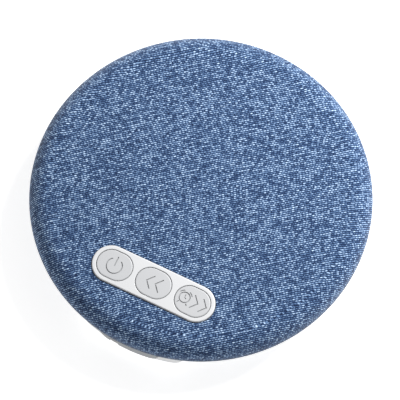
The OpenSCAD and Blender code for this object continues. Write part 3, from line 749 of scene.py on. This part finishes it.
bm = bmesh.new()
block(bm, (7, 1.4, 1.9), (socket_x, usb_front_y + 6.75, port_z))
blade = block(bm, (6.7, 4.3, 0.7), (socket_x, usb_front_y + 3.95, port_z))
blade_edges = list({e for v in blade for e in v.link_edges})
bmesh.ops.bevel(
    bm, geom=blade_edges, offset=0.12, offset_type="OFFSET", segments=3, profile=0.5, affect="EDGES",
    material=-1,
)
for side in (-1, 1):
    for k in range(contact_count):
        x = socket_x + (k - (contact_count - 1) / 2) * contact_pitch
        contact = block(bm, (0.24, 3.2, 0.05), (x, usb_front_y + 3.9, port_z + side * contact_z))
        for f in {f for v in contact for f in v.link_faces}:
            f.material_index = 1
gold_contact = metal("gold_contact", (0.85, 0.60, 0.22), roughness=0.22, grain=0.3)
tongue = finish_piece(bm, "socket_tongue", chip_black, gold_contact)
hand_over(tongue, "housing", "chip_black", "usb_tongue")


# ---- Battery ------------------------------------------------------------------------------
# A lithium pouch cell on foam tape, its foil slightly creased, with two leads crimped into a
# small white plug at the main board.
def creased_foil(name, colour):
    finish, tree, shader = new_finish(name, Metallic=0.85)
    folds = noise(tree, own_place(tree), 160.0, 4.0, Distortion=1.2)
    roughen(tree, shader, folds, 0.345, 0.25)
    shade_between(tree, shader, folds, tuple(c * 0.85 for c in colour), colour)
    relief(tree, shader, folds, 0.5, 0.2)
    return finish


dress(creased_foil("pouch_foil", (0.66, 0.67, 0.70)), "battery_cell")
dress(moulded("foam_tape", (0.05, 0.05, 0.055), roughness=0.95, grain=0.4, depth=0.1), "battery_tape")
dress(ivory_nylon, "battery_socket")
dress(moulded("plug_nylon", (0.80, 0.79, 0.75), roughness=0.45, grain=0.6), "battery_plug")
dress(red_wire, "battery_lead_red")
dress(black_wire, "battery_lead_black")


# ---- Lower shell --------------------------------------------------------------------------
# A white moulded dish, screwed from below into the upper shell. The port housing stands out at
# the front, follows the rim's curve, and carries a seat for the flap round the socket opening.
def solid(loops):
    """A closed solid lofted through its loops."""
    bm = bmesh.new()
    loft(bm, loops, True, True)
    bmesh.ops.recalc_face_normals(bm, faces=bm.faces)
    return bm


def solid_of_revolution(profile, count=around):
    """Closed solid turned from its half outline, which starts and ends on the axis."""
    bm = bmesh.new()
    start, last = loft(bm, [ring(r, z, count=count) for r, z in profile[1:-1]])
    for loop, z in ((start, profile[0][1]), (last, profile[-1][1])):
        pole = bm.verts.new((0, 0, z))
        for k in range(count):
            bm.faces.new((loop[k - 1], loop[k], pole))
    bmesh.ops.recalc_face_normals(bm, faces=bm.faces)
    return bm


def upright_post(x, y, r, z0, z1, count=40):
    return solid([[p + Vector((x, y, 0)) for p in ring(r, z, count=count)] for z in (z0, z1)])


def box_of(size, at):
    bm = bmesh.new()
    block(bm, size, at)
    return bm


def carve(bm, operation, *tools):
    """Joins tools to a solid, or cuts them out of it, and gives the solid back."""
    def temporary(shape):
        mesh = bpy.data.meshes.new("tool")
        shape.to_mesh(mesh)
        shape.free()
        return show(mesh, "tool")

    body = temporary(bm)
    spent = [body]
    for tool in tools:
        cutter = temporary(tool)
        spent.append(cutter)
        step = body.modifiers.new("carve", "BOOLEAN")
        step.operation, step.solver, step.object = operation, "EXACT", cutter
    done = bmesh.new()
    bpy.context.view_layer.update()
    done.from_object(body, bpy.context.evaluated_depsgraph_get())
    for thing in spent:
        mesh = thing.data
        bpy.data.objects.remove(thing)
        bpy.data.meshes.remove(mesh)
    return done


floor_z, floor_t, lip_r, seam_z = 0.8, 1.4, 38.0, 6.9
inner_floor_z = floor_z + floor_t
tongue_r, tongue_top, inner_r = 37.8, seam_z + 2.2, 36.4
outer_bend, inner_bend, edge_break = 3.5, 2, 0.15
foot_in_r, foot_out_r, foot_seat = 25.5, 29.5, 0.5
boss_circle_r, boss_bearings = 32.5, (80, 200, 320)
port_l, port_h, port_r, port_wall, recess = 29.2, 5.9, 42.8, 1.6, 1.0
housing_round, seat_round = 0.5, 0.15
flap_l, flap_h, flap_gap = 16.4, 4.4, 0.2
stud_x = -6.4

foot_seat_z = floor_z + foot_seat
dish = [(0, floor_z), (foot_in_r - edge_break, floor_z), (foot_in_r, floor_z + edge_break)]
dish += [(foot_in_r, foot_seat_z), (foot_out_r, foot_seat_z)]
dish += [(foot_out_r, floor_z + edge_break), (foot_out_r + edge_break, floor_z)]
dish += arc_profile((lip_r - outer_bend, floor_z + outer_bend), outer_bend, -90, 0, 14)
dish += [(lip_r + 1.13, seam_z - edge_break), (lip_r + 1.05, seam_z), (tongue_r, seam_z)]
dish += [(tongue_r, tongue_top - edge_break), (tongue_r - edge_break, tongue_top), (inner_r, tongue_top)]
dish += arc_profile((inner_r - inner_bend, inner_floor_z + inner_bend), inner_bend, 0, -90, 8)
dish += [(0, inner_floor_z)]
shell = solid_of_revolution(dish)


def at_front(points, depth):
    """Upright points pushed forward on to the housing's curve, at a depth behind its face."""
    return [Vector((p.x, -sqrt((port_r - depth) ** 2 - p.x * p.x), p.z)) for p in points]


def upright_pill(length, height, x=0.0):
    return [Vector((p.x + x, 0, p.y + port_z)) for p in pill_loop(length, height)]


back_y = -(inner_r - 0.6)
loops = [[Vector((p.x, back_y, p.z)) for p in upright_pill(port_l, port_h)]]
face_steps = 5
for k in range(face_steps + 1):
    a = pi / 2 * k / face_steps
    inset = 2 * housing_round * (1 - cos(a))
    loops.append(at_front(upright_pill(port_l - inset, port_h - inset), housing_round * (1 - sin(a))))
seat_l, seat_h = flap_l + 2 * flap_gap, flap_h + 2 * flap_gap
face_l, face_h = port_l - 2 * housing_round, port_h - 2 * housing_round
for k in range(1, face_steps):
    t = k / face_steps
    mid_l = face_l + (seat_l + 2 * seat_round - face_l) * t
    mid_h = face_h + (seat_h + 2 * seat_round - face_h) * t
    loops.append(at_front(upright_pill(mid_l, mid_h), 0))
seat_steps = 3
for k in range(seat_steps + 1):
    a = pi / 2 * k / seat_steps
    grow = 2 * seat_round * (1 - sin(a))
    loops.append(at_front(upright_pill(seat_l + grow, seat_h + grow), seat_round * (1 - cos(a))))
loops.append(at_front(upright_pill(seat_l, seat_h), recess))
for t in (0.8, 0.6, 0.4, 0.2):
    loops.append(at_front(upright_pill(seat_l * t, seat_h * t), recess))

cloth_room = [(0, 30), (rim_c, 30)] + arc_profile((rim_c, rim_z), rim_r + 0.1, 90, -90, 40)
cloth_room += [(0, seam_z)]
bulge = carve(solid(loops), "DIFFERENCE", solid_of_revolution(cloth_room))
boss_r, well_r, screw_hole_r, well_depth = 3.4, 2.2, 1.15, 2.6
bosses, wells = [], []
for bearing in boss_bearings:
    a = radians(bearing)
    x, y = boss_circle_r * cos(a), boss_circle_r * sin(a)
    bosses.append(upright_post(x, y, boss_r, floor_z + 0.5, 5))
    wells.append(upright_post(x, y, well_r, floor_z - 1, floor_z + well_depth))
    wells.append(upright_post(x, y, screw_hole_r, floor_z, 9))
stake_spots = ((-17.8, -19.4), (17.8, -19.4), (11.2, -31.4))
stake_foot_r, stake_r, stake_head_r = 1.4, 0.8, 1.3
board_low_z, board_high_z, stake_head_h = 2.42, 3.32, 0.55
stakes = []
for x, y in stake_spots:
    stakes.append(upright_post(x, y, stake_foot_r, floor_z + 1, board_low_z))
    stakes.append(upright_post(x, y, stake_r, floor_z + 1, 3.7))
    stakes.append(upright_post(x, y, stake_head_r, board_high_z, board_high_z + stake_head_h))
cell_x, cell_y, cell_half_l, cell_half_w = 18.5, 1.0, 17.3, 12.3
rib_l, rib_t, rib_h = 8, 1, 2.4
rib_z = inner_floor_z + 1
ribs = []
for side in (-1, 1):
    ribs.append(box_of((rib_t, rib_l, rib_h), (cell_x + side * cell_half_w, cell_y, rib_z)))
    ribs.append(box_of((rib_l, rib_t, rib_h), (cell_x, cell_y + side * cell_half_l, rib_z)))
shell = carve(shell, "UNION", bulge, *bosses, *stakes, *ribs)
pocket_r, pocket_half, pocket_back = port_r - port_wall, 10.5, -33.2
pocket_low, pocket_high = inner_floor_z + 0.1, port_z + 1.73
fronts = [pocket_half * (k / 8 - 1) for k in range(17)]
floor_plan = [(x, -sqrt(pocket_r**2 - x * x)) for x in fronts]
floor_plan += [(pocket_half, pocket_back), (-pocket_half, pocket_back)]
pocket = solid([[Vector((x, y, z)) for x, y in floor_plan] for z in (pocket_low, pocket_high)])
opening_l, opening_h, opening_back, opening_front = 9.3, 3.6, -38.8, -43.8
mouth = upright_pill(opening_l, opening_h, socket_x)
opening = solid([[Vector((p.x, y, p.z)) for p in mouth] for y in (opening_back, opening_front)])
stud_hole = upright_post(0, 0, 1, -44, -39.8)
up_to_back = Matrix(((1, 0, 0, 0), (0, 0, 1, 0), (0, -1, 0, 0), (0, 0, 0, 1)))
place = Matrix.Translation((stud_x, 0, port_z)) @ up_to_back
bmesh.ops.transform(stud_hole, verts=stud_hole.verts, matrix=place)
shell = carve(shell, "DIFFERENCE", pocket, opening, stud_hole, *wells)
shell_white = moulded("shell_white", (0.72, 0.722, 0.73), roughness=0.5, grain=0.4, depth=0.02)
lower = finish_piece(shell, "lower_shell_dish", shell_white, crease=30)
hand_over(lower, "housing", "white_shell_plastic", "bottom_shell")


# ---- Port flap ----------------------------------------------------------------------------
# One strip of grey silicone, moulded to the curve of the port housing. A stud holds its left
# end; a thin web next to it is the hinge, and a low plug behind the right end fills the socket.
flap_in, flap_out = 41.85, 43.2
web_x0, web_x1 = -4.95, -2.9
web_thin, web_half_h = 0.3, 1.6
silicone = moulded("grey_silicone", (0.30, 0.31, 0.325), roughness=0.6, grain=0.25, depth=0.006, tint=0.04)


def flap_slice(x):
    """Rounded cross-section of the flap at one place along it, bent to the housing's curve."""
    half_l, r = flap_l / 2, flap_h / 2
    beyond = max(abs(x) - (half_l - r), 0)
    h = sqrt(max(r * r - beyond * beyond, 0.0004))
    web = max(0.0, 1 - abs(x - (web_x0 + web_x1) / 2) / ((web_x1 - web_x0) / 2 + 0.3))
    web = min(1.0, web * 3.5)
    web = web * web * (3 - 2 * web)
    h = h - (h - web_half_h) * web
    inner, outer_r = flap_in + web_thin * web, flap_out - web_thin * web
    half_t = (outer_r - inner) / 2
    fillet = min(0.35, h * 0.9, half_t * 0.9)
    points = []
    for side_y, side_z, a0 in ((1, 1, 0), (-1, 1, 90), (-1, -1, 180), (1, -1, 270)):
        corner = (inner + half_t + side_y * (half_t - fillet), side_z * (h - fillet))
        for depth, z in arc_profile(corner, fillet, a0, a0 + 90, 4):
            points.append(Vector((x, -sqrt(depth * depth - x * x), port_z + z)))
    return points


half_l, r = flap_l / 2, flap_h / 2
end_turns = (1, 10, 20, 30, 42, 55, 70, 90)
stations = [-(half_l - r) - r * cos(radians(a)) for a in end_turns] + [web_x0 - 0.6, web_x0 - 0.3]
stations += [web_x0 + (web_x1 - web_x0) * k / 10 for k in range(11)] + [web_x1 + 0.3]
stations += [web_x1 + 0.6 + (half_l - r - web_x1 - 0.6) * k / 8 for k in range(8)]
stations += [half_l - r + r * cos(radians(a)) for a in end_turns[::-1]]
bm = bmesh.new()
loft(bm, [flap_slice(x) for x in stations], cap_first=True, cap_last=True)
plug = [(7.6, 2.0, -42.1), (7.6, 2.0, -40.85), (7.3, 1.7, -40.6)]
loft(bm, [[p + Vector((0, y, 0)) for p in upright_pill(l, h, socket_x)] for l, h, y in plug], True, True)
stud = [(0.95, -42.1), (0.95, -40.5), (1.3, -40.4), (0.9, -39.95)]
stud_loops = [
    [Vector((p.x + stud_x, y, p.y + port_z)) for p in ring(r, 0, count=24)] for r, y in stud
]
loft(bm, stud_loops, True, True)
flap = finish_piece(bm, "silicone_flap", silicone, crease=50)
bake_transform(flap)
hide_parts("port_flap", "flap_anchor", "flap_web")


# ---- Foot ring ----------------------------------------------------------------------------
# A flat ring of the same silicone, glued in a groove of the lower shell, with rounded edges
# below that touch the table.
foot_fit, foot_round = 0.05, 0.4
foot = [(foot_in_r + foot_fit, foot_seat_z)]
foot += arc_profile((foot_in_r + foot_fit + foot_round, foot_round), foot_round, 180, 270, 6)
foot += arc_profile((foot_out_r - foot_fit - foot_round, foot_round), foot_round, 270, 360, 6)
foot += [(foot_out_r - foot_fit, foot_seat_z)]
bm = bmesh.new()
start, last = loft(bm, [ring(r, z) for r, z in foot])
bmesh.ops.bridge_loops(bm, edges=edges_of(bm, start) + edges_of(bm, last))
foot_piece = finish_piece(bm, "foot_ring_silicone", silicone)
hand_over(foot_piece, "housing", "grey_silicone", "foot_ring")


# ---- Case screws --------------------------------------------------------------------------
# Three zinc-plated pan-head screws with a cross recess, sunk in wells of the lower shell and
# driven up into the posts of the upper one.
head_z, head_h, head_r, thread_r, thread_l = 3.4, 1.3, 1.9, 1.0, 7.0
turns, pitch, thread_depth = 13, 0.5, 0.16
core_r = thread_r - thread_depth
slot_l, slot_w, slot_h = 2.1, 0.5, 0.9
low_z = head_z - head_h
profile = [(0, low_z), (0.9, low_z + 0.02), (1.35, low_z + 0.12), (1.68, low_z + 0.32), (1.84, low_z + 0.6)]
profile += [(head_r, low_z + 0.95), (head_r, head_z - 0.1), (head_r - 0.1, head_z), (thread_r, head_z)]
for k in range(turns):
    z = head_z + 0.3 + k * pitch
    profile += [(core_r, z), (thread_r, z + 0.16), (thread_r, z + 0.2), (core_r, z + 0.36)]
profile += [(0.5, head_z + thread_l), (0, head_z + thread_l)]
bm = bmesh.new()
for bearing in boss_bearings:
    slots = ((slot_l, slot_w, slot_h), (slot_w, slot_l, slot_h))
    cross = [box_of(size, (0, 0, low_z + 0.3)) for size in slots]
    one = carve(solid_of_revolution(profile, count=36), "DIFFERENCE", *cross)
    a = radians(bearing)
    at = (boss_circle_r * cos(a), boss_circle_r * sin(a), 0)
    bmesh.ops.transform(one, matrix=Matrix.Translation(at) @ Matrix.Rotation(a, 4, "Z"), verts=one.verts)
    mesh = bpy.data.meshes.new("one_screw")
    one.to_mesh(mesh)
    one.free()
    bm.from_mesh(mesh)
    bpy.data.meshes.remove(mesh)
screws = finish_piece(bm, "case_screws_cross_head", bright_zinc, crease=40)
hand_over(screws, "housing", "screw_steel", "case_screws")
